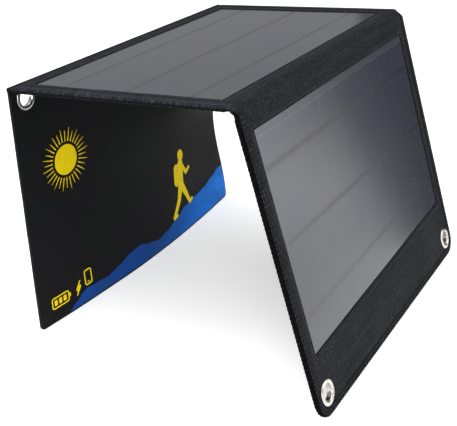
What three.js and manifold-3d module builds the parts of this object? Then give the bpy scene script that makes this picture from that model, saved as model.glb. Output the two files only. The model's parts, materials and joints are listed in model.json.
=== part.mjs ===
// Folding solar phone charger: two solar leaves and a printed cover, standing on the
// floor as a tent. Millimetres, +Z up. The folds run along Y.
// Every leaf is drawn flat in its own frame: x away from its fold, y along the fold,
// z out of its face, and is then hung from its fold at its own slope.
import * as THREE from 'three';
import { mergeVertices } from 'three/addons/utils/BufferGeometryUtils.js';
import Module from 'manifold-3d';

const wasm = await Module();
wasm.setup();

// ---- Driving dimensions -------------------------------------------------------------

const FOLD_LENGTH = 300;        // every leaf, along its fold
const TOP_LENGTH = 186;         // top leaf, from the cover fold to the panel fold
const SIDE_LENGTH = 226.8;      // side leaf, from the panel fold to its foot
const TOP_SLOPE = 5.09;         // degrees above level, rising towards the panel fold
const SIDE_SLOPE = 72.1;        // degrees below level
const COVER_SLOPE = 87.7;       // degrees below level

const LEAF_THICKNESS = 3.4;
const COVER_THICKNESS = 2.2;
const FABRIC = 0.6;             // one layer of woven cloth
const LAYER_GAP = 0.1;          // between stacked sheets
const EDGE_GAP = 0.3;           // between pieces that lie side by side
const FOLD_GAP = 9;             // bare fold on each side of the panel fold's corner
const SPINE_WIDTH = 5.5;        // cloth spine of the panel fold, between its two bending lines
const SPINE_THICKNESS = 0.8;
const SPINE_CLEARANCE = 0.9;    // from the spine's edge to its bending line
const COVER_FOLD_GAP = 5;       // bare fold between the cover fold and the top leaf
const COVER_START = 1.5;        // where the cover's sheets start below the cover fold
const BINDING = 5.5;            // width of the bound edges
const FOOT_RADIUS = 15;         // the two corners of the side leaf's foot
const CORNER_RADIUS = 3;        // the two corners of the cover's foot

const WINDOW_WIDTH = 158;       // the panel that shows, across the folds
const WINDOW_BORDER = 14.5;     // cloth border beside the panel, at the front and back
const TOP_WINDOW_START = 13.5;
const SIDE_WINDOW_START = 21;
const WINDOW_RADIUS = 2;
const TUCK = 3.5;               // how far the laminate goes under the cloth border
const CELL_COUNT = 12;
const CELL_PITCH = 22;
const CELL_GAP = 0.6;
const CELL_LENGTH = 156;
const RIBBON_WIDTH = 1.5;
const RIBBON_PLACES = [1 / 6, 1 / 2, 5 / 6];

// Heights of the layers in a solar leaf, below its face.
const FILM = [-1.1, -0.7];
const RIBBONS = [-1.35, -1.2];
const CELLS = [-1.65, -1.45];
const BOARD = [-2.7, -1.75];

const GROMMET_HOLE_R = 6.2;
const GROMMET_BARREL_R = 6.85;
const GROMMET_FLANGE_R = 9.4;
const GROMMET_HOLE_IN_CLOTH_R = 7.25;
const FLANGE_THICKNESS = 0.5;
const SIDE_GROMMET_X = 210.8;
const SIDE_GROMMET_INSET = 16.2;
const COVER_GROMMET_X = 11.1;
const COVER_GROMMET_INSET = 16;

const STIFFENER = [0.6, 1.6];   // heights above the cover's inner face
const STIFFENER_START = 23;
const STIFFENER_INSET = 5;
const LEAD_WIDTH = 2.6;
const LEAD_SLOT = 3.4;

const POCKET = { x0: 76, x1: 186, y0: 56, y1: 244, depth: 14, roll: 10, wall: 0.8 };
const ZIP_X = 68;
const ZIP_Y = [48, 252];
const ZIP_TAPE_WIDTH = 14;
const ZIP_COIL_WIDTH = 4.6;
const SLIDER_Y = 64;
const PULLER_LENGTH = 24;

const CASE = { x0: 128, x1: 164, y0: 150, y1: 216, bottom: -12.9, rim: -3.2, wall: 1.2 };
const CASE_LID = [-2.9, -1.2];
const PCB = [-4.6, -3.5];
const USB = { width: 13.1, height: 5.7, length: 14, wall: 0.4, spread: 28, bottom: -10.8 };

// ---- Materials ----------------------------------------------------------------------

const matter = (color, roughness, metalness = 0) =>
  new THREE.MeshStandardMaterial({ color, roughness, metalness });

const clothLook = matter(0x34353a, 0.9);
const bindingLook = matter(0x2b2c31, 0.9);
const printLook = matter(0x17181a, 0.6);
const liningLook = matter(0x242529, 0.9);
const filmLook = matter(0x6f7077, 0.35);
const cellLook = matter(0x1b2233, 0.3);
const ribbonLook = matter(0xb9bcc0, 0.4, 0.9);
const boardLook = matter(0xd8d8d4, 0.7);
const grommetLook = matter(0xd4d6d9, 0.25, 1);
const zipLook = matter(0x1c1c1f, 0.5);
const sliderLook = matter(0x55575c, 0.35, 1);
const caseLook = matter(0x1f2023, 0.6);
const pcbLook = matter(0x1d5a35, 0.6);
const socketLook = matter(0xc9cbce, 0.3, 1);
const leadLook = matter(0x121214, 0.7);

// ---- Small shape tools --------------------------------------------------------------

const radians = THREE.MathUtils.degToRad;

function add(group, name, geometry, look) {
  const mesh = new THREE.Mesh(geometry, look);
  mesh.name = name;
  group.add(mesh);
  return mesh;
}

function block(x0, x1, y0, y1, z0, z1) {
  const geometry = new THREE.BoxGeometry(x1 - x0, y1 - y0, z1 - z0);
  geometry.translate((x0 + x1) / 2, (y0 + y1) / 2, (z0 + z1) / 2);
  return geometry;
}

// A rectangle whose near corners (at x0) and far corners (at x1) have their own radius.
function outline(x0, x1, y0, y1, farRadius = 0, nearRadius = 0) {
  const shape = new THREE.Shape();
  shape.moveTo(x0 + nearRadius, y0);
  shape.lineTo(x1 - farRadius, y0);
  if (farRadius) shape.absarc(x1 - farRadius, y0 + farRadius, farRadius, -Math.PI / 2, 0);
  shape.lineTo(x1, y1 - farRadius);
  if (farRadius) shape.absarc(x1 - farRadius, y1 - farRadius, farRadius, 0, Math.PI / 2);
  shape.lineTo(x0 + nearRadius, y1);
  if (nearRadius) shape.absarc(x0 + nearRadius, y1 - nearRadius, nearRadius, Math.PI / 2, Math.PI);
  shape.lineTo(x0, y0 + nearRadius);
  if (nearRadius) shape.absarc(x0 + nearRadius, y0 + nearRadius, nearRadius, Math.PI, 1.5 * Math.PI);
  return shape;
}

function circle(x, y, radius) {
  const shape = new THREE.Shape();
  shape.absarc(x, y, radius, 0, 2 * Math.PI);
  return shape;
}

function sheet(shape, [z0, z1], holes = []) {
  shape.holes.push(...holes);
  const geometry = new THREE.ExtrudeGeometry(
    shape, { depth: z1 - z0, bevelEnabled: false, curveSegments: 8 });
  geometry.translate(0, 0, z0);
  return geometry;
}

function toSolid(geometry) {
  const bare = geometry.clone();
  bare.deleteAttribute('normal');
  bare.deleteAttribute('uv');
  const merged = mergeVertices(bare, 1e-4);
  return new wasm.Manifold(new wasm.Mesh({
    numProp: 3,
    vertProperties: Float32Array.from(merged.attributes.position.array),
    triVerts: Uint32Array.from(merged.index.array),
  }));
}

function toGeometry(solid) {
  const mesh = solid.getMesh();
  const geometry = new THREE.BufferGeometry();
  geometry.setAttribute('position', new THREE.BufferAttribute(Float32Array.from(mesh.vertProperties), 3));
  geometry.setIndex(Array.from(mesh.triVerts));
  return geometry;
}

function cut(body, ...tools) {
  return toGeometry(tools.reduce((rest, tool) => rest.subtract(toSolid(tool)), toSolid(body)));
}

function join(...pieces) {
  return toGeometry(pieces.map(toSolid).reduce((whole, piece) => whole.add(piece)));
}

// ---- Solar leaf: the laminate and its two cloths ------------------------------------

function addPanel(group, prefix, windowStart) {
  const x0 = windowStart;
  const x1 = windowStart + WINDOW_WIDTH;
  const y0 = WINDOW_BORDER;
  const y1 = FOLD_LENGTH - WINDOW_BORDER;
  const tucked = () => outline(x0 - TUCK, x1 + TUCK, y0 - TUCK, y1 + TUCK, 3, 3);
  add(group, `${prefix}_film`, sheet(tucked(), FILM), filmLook);
  add(group, `${prefix}_board`, sheet(tucked(), BOARD), boardLook);

  const cellStart = (FOLD_LENGTH - CELL_COUNT * CELL_PITCH) / 2;
  const cellX = (x0 + x1 - CELL_LENGTH) / 2;
  for (let i = 0; i < CELL_COUNT; i += 1) {
    const start = cellStart + i * CELL_PITCH + CELL_GAP / 2;
    const cell = block(cellX, cellX + CELL_LENGTH, start, start + CELL_PITCH - CELL_GAP, ...CELLS);
    add(group, `${prefix}_cell_${String(i + 1).padStart(2, '0')}`, cell, cellLook);
  }

  const ribbonStart = cellStart - 1;
  const ribbonEnd = FOLD_LENGTH - cellStart + 1;
  const ribbonX = RIBBON_PLACES.map((place) => x0 + place * WINDOW_WIDTH);
  const ribbons = ribbonX.map((x) =>
    block(x - RIBBON_WIDTH / 2, x + RIBBON_WIDTH / 2, ribbonStart, ribbonEnd, ...RIBBONS));
  const crossLink = block(
    ribbonX[0] - RIBBON_WIDTH / 2, ribbonX[2] + RIBBON_WIDTH / 2,
    ribbonEnd - RIBBON_WIDTH, ribbonEnd, ...RIBBONS);
  add(group, `${prefix}_ribbons`, join(...ribbons, crossLink), ribbonLook);
}

function windowHole(windowStart) {
  return outline(
    windowStart, windowStart + WINDOW_WIDTH,
    WINDOW_BORDER, FOLD_LENGTH - WINDOW_BORDER, WINDOW_RADIUS, WINDOW_RADIUS);
}

// ---- Grommet: an eyelet through the cloth and a washer behind it --------------------

function addGrommet(group, prefix, place, x, y, frontZ, backZ) {
  const lip = frontZ + LAYER_GAP;
  const tail = backZ - LAYER_GAP - FLANGE_THICKNESS;
  const crown = lip + FLANGE_THICKNESS;
  const profile = [
    [GROMMET_HOLE_R, tail],
    [GROMMET_BARREL_R, tail],
    [GROMMET_BARREL_R, lip],
    [GROMMET_FLANGE_R - 0.2, lip],
    [GROMMET_FLANGE_R, lip + 0.2],
    [GROMMET_FLANGE_R - 0.6, crown],
    [GROMMET_HOLE_R + 0.6, crown],
    [GROMMET_HOLE_R, crown - 0.25],
    [GROMMET_HOLE_R, tail],
  ].map(([r, z]) => new THREE.Vector2(r, z));
  const eyelet = new THREE.LatheGeometry(profile, 28);
  eyelet.rotateX(Math.PI / 2);
  eyelet.translate(x, y, 0);
  add(group, `${prefix}_eyelet_${place}`, eyelet, grommetLook);

  const washer = sheet(
    circle(x, y, GROMMET_FLANGE_R - 0.3), [tail, backZ - LAYER_GAP],
    [circle(x, y, GROMMET_BARREL_R + EDGE_GAP)]);
  add(group, `${prefix}_washer_${place}`, washer, grommetLook);
}

// ---- Top leaf -----------------------------------------------------------------------

function buildTopLeaf() {
  const leaf = new THREE.Group();
  const x0 = COVER_FOLD_GAP;
  const x1 = TOP_LENGTH - FOLD_GAP;
  const y0 = BINDING + EDGE_GAP;
  const y1 = FOLD_LENGTH - BINDING - EDGE_GAP;
  const back = -LEAF_THICKNESS;

  const front = sheet(outline(x0, x1, y0, y1), [-FABRIC, 0], [windowHole(TOP_WINDOW_START)]);
  add(leaf, 'top_front_cloth', front, clothLook);
  add(leaf, 'top_back_cloth', sheet(outline(x0, x1, y0, y1), [back, back + FABRIC]), clothLook);
  add(leaf, 'top_binding_front', block(x0, x1, 0, BINDING, back, 0), bindingLook);
  add(leaf, 'top_binding_back', block(x0, x1, FOLD_LENGTH - BINDING, FOLD_LENGTH, back, 0), bindingLook);
  addPanel(leaf, 'top', TOP_WINDOW_START);
  return leaf;
}

// ---- Side leaf ----------------------------------------------------------------------

function buildSideLeaf() {
  const leaf = new THREE.Group();
  const x0 = FOLD_GAP;
  const x1 = SIDE_LENGTH - BINDING - EDGE_GAP;
  const y0 = BINDING + EDGE_GAP;
  const y1 = FOLD_LENGTH - BINDING - EDGE_GAP;
  const innerRadius = FOOT_RADIUS - BINDING;
  const back = -LEAF_THICKNESS;
  const grommetY = [SIDE_GROMMET_INSET, FOLD_LENGTH - SIDE_GROMMET_INSET];
  const grommetHoles = () => grommetY.map((y) => circle(SIDE_GROMMET_X, y, GROMMET_HOLE_IN_CLOTH_R));

  const front = sheet(
    outline(x0, x1, y0, y1, innerRadius), [-FABRIC, 0],
    [windowHole(SIDE_WINDOW_START), ...grommetHoles()]);
  add(leaf, 'side_front_cloth', front, clothLook);
  const rear = sheet(outline(x0, x1, y0, y1, innerRadius), [back, back + FABRIC], grommetHoles());
  add(leaf, 'side_back_cloth', rear, clothLook);

  const whole = sheet(outline(x0, SIDE_LENGTH, 0, FOLD_LENGTH, FOOT_RADIUS), [back, 0]);
  const inside = sheet(
    outline(x0 - 1, SIDE_LENGTH - BINDING, BINDING, FOLD_LENGTH - BINDING, innerRadius),
    [back - 1, 1]);
  add(leaf, 'side_binding', cut(whole, inside), bindingLook);

  addPanel(leaf, 'side', SIDE_WINDOW_START);
  addGrommet(leaf, 'side', 'front', SIDE_GROMMET_X, grommetY[0], 0, back);
  addGrommet(leaf, 'side', 'back', SIDE_GROMMET_X, grommetY[1], 0, back);
  return leaf;
}

// ---- Zip on the inner face of the cover ---------------------------------------------

function buildZip(leaf) {
  const tape = [-0.8, -0.3];
  const coil = [-1.9, -0.9];
  const halfTape = ZIP_TAPE_WIDTH / 2;
  const halfCoil = ZIP_COIL_WIDTH / 2;
  add(leaf, 'zip_tape', block(ZIP_X - halfTape, ZIP_X + halfTape, ...ZIP_Y, ...tape), zipLook);
  const teeth = block(ZIP_X - halfCoil, ZIP_X + halfCoil, ZIP_Y[0] + 4, ZIP_Y[1] - 4, ...coil);
  add(leaf, 'zip_coil', teeth, zipLook);

  // The slider saddles the coil, and a low arch on it holds the puller's end bar.
  const halfSlider = 4.5;
  const cheek = 1.6;
  const plate = block(ZIP_X - halfSlider, ZIP_X + halfSlider, SLIDER_Y - 5, SLIDER_Y + 5, -3.4, -2.2);
  const cheeks = [-1, 1].map((side) => {
    const outer = ZIP_X + side * halfSlider;
    const inner = ZIP_X + side * (halfSlider - cheek);
    return block(Math.min(outer, inner), Math.max(outer, inner), SLIDER_Y - 5, SLIDER_Y + 5, -2.3, -1.1);
  });
  const posts = [-1, 1].map((side) => {
    const y = SLIDER_Y + side * 3.4;
    return block(ZIP_X - 1.2, ZIP_X + 1.2, y - 0.6, y + 0.6, -5.6, -3.3);
  });
  const arch = block(ZIP_X - 1.2, ZIP_X + 1.2, SLIDER_Y - 4, SLIDER_Y + 4, -5.8, -5);
  add(leaf, 'zip_slider', join(plate, ...cheeks, ...posts, arch), sliderLook);

  const puller = outline(ZIP_X - 3.2, ZIP_X + 3.2, SLIDER_Y - 0.5, SLIDER_Y + PULLER_LENGTH, 0.4, 0.4);
  const eye = outline(ZIP_X - 1.8, ZIP_X + 1.8, SLIDER_Y + 0.5, SLIDER_Y + 5.5);
  add(leaf, 'zip_puller', sheet(puller, [-4.7, -3.7], [eye]), sliderLook);
}

// ---- Pocket: a soft tray with rolled edges, open towards the cover -------------------

function pocketPillow(inset) {
  const roll = POCKET.roll - inset;
  const core = outline(
    POCKET.x0 + POCKET.roll, POCKET.x1 - POCKET.roll,
    POCKET.y0 + POCKET.roll, POCKET.y1 - POCKET.roll, 8, 8);
  const straight = POCKET.depth - POCKET.roll;
  const pillow = new THREE.ExtrudeGeometry(core, {
    depth: straight * 2,
    bevelEnabled: true,
    bevelSize: roll,
    bevelThickness: roll,
    bevelSegments: 5,
    curveSegments: 6,
  });
  pillow.translate(0, 0, -straight);
  return pillow;
}

function buildPocket(leaf) {
  const room = block(0, POCKET.x1 + 20, 0, FOLD_LENGTH, -LAYER_GAP * 3, 40);
  add(leaf, 'pocket_panel', cut(pocketPillow(0), pocketPillow(POCKET.wall), room), clothLook);
}

// ---- Charge controller inside the pocket --------------------------------------------

function buildController(leaf) {
  const { x0, x1, y0, y1, bottom, rim, wall } = CASE;
  const middleY = (y0 + y1) / 2;
  const portY = [middleY - USB.spread / 2, middleY + USB.spread / 2];
  const usbTop = USB.bottom + USB.height;
  const usbMiddle = USB.bottom + USB.height / 2;
  const clearance = 0.25;

  const shell = sheet(outline(x0, x1, y0, y1, 3, 3), [bottom, rim]);
  const hollow = sheet(outline(x0 + wall, x1 - wall, y0 + wall, y1 - wall, 2, 2), [bottom + wall, rim + 1]);
  const ports = portY.map((y) => block(
    x0 - 1, x0 + wall + 1, y - USB.width / 2 - clearance, y + USB.width / 2 + clearance,
    USB.bottom - clearance, usbTop + clearance));
  add(leaf, 'case_base', cut(shell, hollow, ...ports), caseLook);

  const leadX = (x0 + x1) / 2;
  const leadHole = outline(
    leadX - LEAD_SLOT / 2, leadX + LEAD_SLOT / 2,
    middleY - LEAD_SLOT / 2, middleY + LEAD_SLOT / 2);
  add(leaf, 'case_lid', sheet(outline(x0, x1, y0, y1, 3, 3), CASE_LID, [leadHole]), caseLook);
  const board = outline(x0 + wall + 0.5, x1 - wall - 0.5, y0 + wall + 0.5, y1 - wall - 0.5, 1.5, 1.5);
  add(leaf, 'controller_pcb', sheet(board, PCB), pcbLook);

  portY.forEach((y, i) => {
    const halfWidth = USB.width / 2;
    const outer = block(x0 + 0.1, x0 + USB.length, y - halfWidth, y + halfWidth, USB.bottom, usbTop);
    const inner = block(
      x0 - 1, x0 + USB.length - 1,
      y - halfWidth + USB.wall, y + halfWidth - USB.wall, USB.bottom + USB.wall, usbTop - USB.wall);
    const tongue = block(x0 + 1, x0 + USB.length - 0.5, y - 5.5, y + 5.5, usbMiddle - 0.6, usbMiddle + 1.2);
    const socket = toGeometry(toSolid(outer).subtract(toSolid(inner)).add(toSolid(tongue)));
    add(leaf, `usb_socket_${i + 1}`, socket, socketLook);
  });

  // The lead from the panels runs in the stiffener's slot and turns down into the case.
  const run = block(
    COVER_START + 3, leadX + LEAD_WIDTH / 2, middleY - LEAD_WIDTH / 2, middleY + LEAD_WIDTH / 2,
    STIFFENER[0] + LAYER_GAP, STIFFENER[1] - LAYER_GAP);
  const drop = block(
    leadX - LEAD_WIDTH / 2, leadX + LEAD_WIDTH / 2, middleY - LEAD_WIDTH / 2, middleY + LEAD_WIDTH / 2,
    PCB[1] + 0.3, STIFFENER[0] + 0.5);
  add(leaf, 'panel_lead', join(run, drop), leadLook);
  return { leadX, leadY: middleY };
}

// ---- Cover: printed face, stiffener and lining ---------------------------------------

function buildCover(length) {
  const leaf = new THREE.Group();
  const { leadX, leadY } = buildController(leaf);
  const grommetY = [COVER_GROMMET_INSET, FOLD_LENGTH - COVER_GROMMET_INSET];
  const whole = () => outline(COVER_START, length, 0, FOLD_LENGTH, CORNER_RADIUS);
  const holes = () => grommetY.map((y) => circle(COVER_GROMMET_X, y, GROMMET_HOLE_IN_CLOTH_R));
  const printStart = STIFFENER[1] + LAYER_GAP;
  const half = LEAD_SLOT / 2;

  const leadHole = outline(leadX - half, leadX + half, leadY - half, leadY + half);
  add(leaf, 'cover_print', sheet(whole(), [printStart, COVER_THICKNESS], holes()), printLook);
  const lining = sheet(whole(), [0, STIFFENER[0] - LAYER_GAP], [...holes(), leadHole]);
  add(leaf, 'cover_lining', lining, liningLook);

  const plate = block(
    STIFFENER_START, length - STIFFENER_INSET, STIFFENER_INSET, FOLD_LENGTH - STIFFENER_INSET, ...STIFFENER);
  const slot = block(0, leadX + half, leadY - half, leadY + half, STIFFENER[0] - 1, STIFFENER[1] + 1);
  add(leaf, 'cover_stiffener', cut(plate, slot), boardLook);

  addGrommet(leaf, 'cover', 'front', COVER_GROMMET_X, grommetY[0], COVER_THICKNESS, 0);
  addGrommet(leaf, 'cover', 'back', COVER_GROMMET_X, grommetY[1], COVER_THICKNESS, 0);
  buildPocket(leaf);
  buildZip(leaf);
  return leaf;
}

// ---- Assembly: the leaves hang from their folds --------------------------------------

const topSlope = radians(TOP_SLOPE);
const sideSlope = radians(SIDE_SLOPE);
const coverSlope = radians(COVER_SLOPE);

// The inner edge of the side leaf's foot and the cover's foot both meet the floor.
const panelFoldZ = SIDE_LENGTH * Math.sin(sideSlope) + LEAF_THICKNESS * Math.cos(sideSlope);
const coverFoldZ = panelFoldZ - TOP_LENGTH * Math.sin(topSlope);
const panelFoldX = TOP_LENGTH * Math.cos(topSlope);
const coverLength = coverFoldZ / Math.sin(coverSlope);

// The panel fold bends along two lines, one at each edge of its spine. Both lie in the
// middle of the leaves' thickness, and the spine takes half of the fold's turn at each.
const halfFold = (topSlope + sideSlope) / 2;
const middleDepth = LEAF_THICKNESS / 2;
const nearLineX = TOP_LENGTH - middleDepth * Math.tan(halfFold) - SPINE_WIDTH / 2 / Math.cos(halfFold);
const spineSlope = sideSlope - halfFold;
const nearLine = new THREE.Vector3(
  nearLineX * Math.cos(topSlope) + middleDepth * Math.sin(topSlope), 0,
  coverFoldZ + nearLineX * Math.sin(topSlope) - middleDepth * Math.cos(topSlope));

const spine = new THREE.Group();
add(spine, 'fold_spine', block(
  SPINE_CLEARANCE, SPINE_WIDTH - SPINE_CLEARANCE, 0, FOLD_LENGTH,
  -SPINE_THICKNESS / 2, SPINE_THICKNESS / 2), clothLook);
spine.position.copy(nearLine);
spine.rotation.y = spineSlope;

const topLeaf = buildTopLeaf();
topLeaf.position.set(0, 0, coverFoldZ);
topLeaf.rotation.y = -topSlope;

const sideLeaf = buildSideLeaf();
sideLeaf.position.set(panelFoldX, 0, panelFoldZ);
sideLeaf.rotation.y = sideSlope;

const coverLeaf = buildCover(coverLength);
coverLeaf.position.set(0, 0, coverFoldZ);
coverLeaf.rotation.y = coverSlope;

// The origin is at the middle of the base of the whole charger's box.
const charger = new THREE.Group();
charger.add(topLeaf, sideLeaf, coverLeaf, spine);
charger.updateMatrixWorld(true);
const extent = new THREE.Box3().setFromObject(charger, true);
const middle = extent.getCenter(new THREE.Vector3());
charger.position.set(-middle.x, -middle.y, -extent.min.z);
charger.updateMatrixWorld(true);

export default charger;
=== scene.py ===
import json
from math import ceil, cos, dist, pi, radians, sin, sqrt, tan, tau

import bmesh
import bpy
import numpy as np
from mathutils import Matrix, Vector


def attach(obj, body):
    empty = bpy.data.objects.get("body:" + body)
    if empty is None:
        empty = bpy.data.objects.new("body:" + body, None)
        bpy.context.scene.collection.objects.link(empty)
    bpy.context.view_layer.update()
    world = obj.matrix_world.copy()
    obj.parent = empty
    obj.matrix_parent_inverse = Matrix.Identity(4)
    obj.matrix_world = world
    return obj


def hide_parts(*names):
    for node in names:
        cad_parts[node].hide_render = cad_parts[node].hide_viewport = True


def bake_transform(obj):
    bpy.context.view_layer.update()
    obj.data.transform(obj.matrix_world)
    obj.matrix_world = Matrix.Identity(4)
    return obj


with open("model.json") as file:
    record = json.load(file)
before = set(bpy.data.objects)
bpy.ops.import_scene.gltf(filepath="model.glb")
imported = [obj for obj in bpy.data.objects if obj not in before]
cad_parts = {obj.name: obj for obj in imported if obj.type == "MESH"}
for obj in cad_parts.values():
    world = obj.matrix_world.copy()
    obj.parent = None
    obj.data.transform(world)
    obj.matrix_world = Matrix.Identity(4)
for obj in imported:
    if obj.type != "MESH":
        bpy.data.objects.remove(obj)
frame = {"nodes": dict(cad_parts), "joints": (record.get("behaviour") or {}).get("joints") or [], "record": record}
scene = bpy.context.scene
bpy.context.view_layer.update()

# ---- The charger's driving dimensions, in millimetres
# A leaf is drawn flat: x away from its fold, y along the fold from the front edge,
# z out of its face. hang() then hangs it at its slope.

MM = 0.001
LENGTH = 300.0
TOP_SLOPE = -5.09  # degrees below level
SIDE_SLOPE = 72.1
COVER_SLOPE = 87.7
THICKNESS = 3.4
COVER_THICKNESS = 2.2
COVER_FOOT = 200.7
CLOTH = 0.6
SPINE_WIDTH = 5.5
FOOT_RADIUS = 15.0
BORDER = 14.5
WINDOW = 158.0
TOP_START = 13.5
SIDE_START = 21.0
TOP_CORNER = 186.0
SIDE_END = 226.8
CLOTH_START = 5.5  # where the top leaf's cloth starts beside the cover fold
BINDING = 6.2
CELL_COUNT = 12
CELL_PITCH = 22.0
CELLS_START = (LENGTH - CELL_COUNT * CELL_PITCH) / 2
RIBBONS = (1 / 6, 1 / 2, 5 / 6)
MARGIN = (4.6, 4.9)  # where the film's pale margin by the fold ends, from the window's edge; the margin is the clear border, lightened with painted highlight
MARGIN_LINE = 5.1  # the fine pale line beside that margin, a painted highlight

HALF_FOLD = radians((SIDE_SLOPE - TOP_SLOPE) / 2)
MIDDLE = -THICKNESS / 2
LINE_INSET = THICKNESS / 2 * tan(HALF_FOLD) + SPINE_WIDTH / 2 / cos(HALF_FOLD)
NEAR_LINE = TOP_CORNER - LINE_INSET
NEAR_END = NEAR_LINE + SPINE_WIDTH / 2
FAR_END = LINE_INSET - SPINE_WIDTH / 2
BEND_RUN = 4.0  # how far before a bending line the cloth starts to turn
FOLD_THIN = 0.45  # how much of its thickness the cloth loses in the bend
COVER_TURN = radians(180 - COVER_SLOPE + TOP_SLOPE)
COVER_RUN = 4.0

joints = {joint["name"]: joint for joint in frame["joints"]}


# ---- Places

def hang(points, slope, joint, joint_x=0.0, joint_z=0.0):
    """Takes points from a leaf's flat frame to where the leaf hangs at its joint."""
    c, s = cos(radians(slope)), sin(radians(slope))
    axes = MM * np.array([(c, 0, -s), (0, 1, 0), (s, 0, c)])
    return np.array(joints[joint]["pos_m"]) + (points - (joint_x, LENGTH / 2, joint_z)) @ axes


def rise(value, start, run):
    """0 before start, 1 beyond start + run, smooth between."""
    t = np.clip((value - start) / run, 0, 1)
    return t * t * (3 - 2 * t)


def bell(value, centre, width):
    return np.exp(-((value - centre) / width) ** 2)


def bend(points, line_x, line_z, start, end, turn, thin=0.0):
    """Turns what lies beyond start down about a line along y, by the whole turn at end."""
    points = np.array(points, float)
    share = rise(points[:, 0], start, end - start)
    dx = points[:, 0] - line_x
    dz = (points[:, 2] - line_z) * (1 - thin * share)
    c, s = np.cos(share * turn), np.sin(share * turn)
    points[:, 0] = line_x + dx * c + dz * s
    points[:, 2] = line_z - dx * s + dz * c
    return points


# How the windows were sewn, a little out of square: places across the leaf,
# and how far each is moved at the front edge and at the back edge.
TOP_SEAMS = ((100, 171.5, 173, 178), (0, -1.8, -1.8, 0), (0, 0, 0, 0))
SIDE_SEAMS = ((14, 20, 23, 60, 100, 178, 181, 203), (0, -1.9, -1.9, 0, 0, 2.8, 2.8, 0),
              (0, -1.9, -1.9, 0, 0, -2.8, -2.8, 0))


def sewn(points, across, front, back):
    points = np.array(points, float)
    x, share = points[:, 0], points[:, 1] / LENGTH
    points[:, 0] = x + np.interp(x, across, front) * (1 - share) + np.interp(x, across, back) * share
    return points


def on_top(points):
    """Top leaf, with its half of the panel fold."""
    bent = bend(sewn(points, *TOP_SEAMS), NEAR_LINE, MIDDLE, NEAR_LINE - BEND_RUN, NEAR_END, HALF_FOLD,
                FOLD_THIN)
    return hang(bent, TOP_SLOPE, "cover_fold")


def on_side(points):
    """Side leaf, with its half of the panel fold."""
    mirrored = sewn(points, *SIDE_SEAMS) * (-1, 1, 1)
    mirrored = bend(mirrored, -LINE_INSET, MIDDLE, -LINE_INSET - BEND_RUN, -FAR_END, HALF_FOLD, FOLD_THIN)
    return hang(mirrored * (-1, 1, 1), SIDE_SLOPE, "panel_fold_far", LINE_INSET, MIDDLE)


BOW = 9.0  # the foot of the cover bows in at its middle
FLARE = 12.0  # its back edge flares out
FLARE_RISE, FLARE_FALL = (72, 38), (112, 92)  # where the flare grows and fades, and over what run


def cover_bow(x, y):
    """How far the hanging cover is off its flat, inwards."""
    along = np.clip(y / LENGTH, 0, 1)
    bow = BOW * np.sin(pi * along) * np.clip(x / COVER_FOOT, 0, 1.05) ** 2
    flare = rise(x, *FLARE_RISE) * (1 - rise(x, *FLARE_FALL))
    return bow - FLARE * flare * along ** 4


def on_cover(points):
    """Cover, with the cover fold: z runs from its inner face out through its printed face."""
    points = np.array(points, float)
    points[:, 2] = -(points[:, 2] + cover_bow(points[:, 0], points[:, 1]))
    turned = bend(points, 0, 0, -COVER_RUN, COVER_RUN, COVER_TURN)
    return hang(turned * (-1, 1, 1), TOP_SLOPE, "cover_fold")


# ---- Ripples, outlines and meshes

def ripples(x, y, shortest, longest, amount, seed, count=14):
    """Soft random waves whose lengths lie between shortest and longest."""
    chance = np.random.RandomState(seed)
    total = np.zeros(np.broadcast(x, y).shape)
    for _ in range(count):
        wave = chance.uniform(shortest, longest)
        heading = chance.uniform(0, pi)
        phase = chance.uniform(0, tau)
        total += np.sin(tau * (x * cos(heading) + y * sin(heading)) / wave + phase)
    return total * amount / sqrt(count)


def level(height):
    return lambda x, y: x * 0 + height


def lowered(height, amount):
    return lambda x, y: height(x, y) - amount


def box_distance(x, y, x0, x1, y0, y1, radius=0.0):
    """Negative inside a rectangle with round corners."""
    qx = np.abs(x - (x0 + x1) / 2) - (x1 - x0) / 2 + radius
    qy = np.abs(y - (y0 + y1) / 2) - (y1 - y0) / 2 + radius
    outside = np.hypot(np.maximum(qx, 0), np.maximum(qy, 0))
    return outside + np.minimum(np.maximum(qx, qy), 0) - radius


def both_edges(*insets):
    """These distances in from the front edge, and as far in from the back edge."""
    return [y for inset in insets for y in (inset, LENGTH - inset)]


def lines(start, end, step, stops=()):
    """Grid lines from start to end about a step apart, with a line on each stop."""
    marks = sorted({start, end, *[s for s in stops if start < s < end]})
    out = []
    for a, b in zip(marks, marks[1:]):
        count = max(1, round((b - a) / step))
        out += [a + (b - a) * i / count for i in range(count)]
    return np.array(out + [end])


def dense(points, step=1.1):
    """A polyline with points no further apart than step."""
    out = [points[0]]
    for a, b in zip(points, points[1:]):
        count = max(1, ceil(dist(a, b) / step))
        out += list(np.linspace(a, b, count + 1)[1:])
    return np.array(out)


def loop(x0, x1, y0, y1, corner=0.0, count=8):
    """A closed path round a rectangle, with count points on each round corner."""
    if not corner:
        return [(x0, y0), (x1, y0), (x1, y1), (x0, y1), (x0, y0)]
    points = []
    left, right, front, back = x0 + corner, x1 - corner, y0 + corner, y1 - corner
    for x, y, begin in ((right, front, -90), (right, back, 0), (left, back, 90), (left, front, 180)):
        points += [(x + corner * cos(a), y + corner * sin(a))
                   for a in np.radians(np.linspace(begin, begin + 90, count))]
    return points + points[:1]


def run_along(path):
    """How far along a path each of its points lies."""
    return np.append(0, np.cumsum(np.hypot(*np.diff(path, axis=0).T)))


def tube_faces(rings, count, first=0, closed=False):
    """Faces between rings of count points each, and over both ends unless the tube is closed."""
    faces = []
    for r in range(rings if closed else rings - 1):
        a, b = first + r * count, first + (r + 1) % rings * count
        faces += [[a + k, a + (k + 1) % count, b + (k + 1) % count, b + k] for k in range(count)]
    if not closed:
        last = first + (rings - 1) * count
        faces += [list(range(first, first + count))[::-1], list(range(last, last + count))]
    return faces


looks = {}  # the materials by name, filled in below


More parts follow.
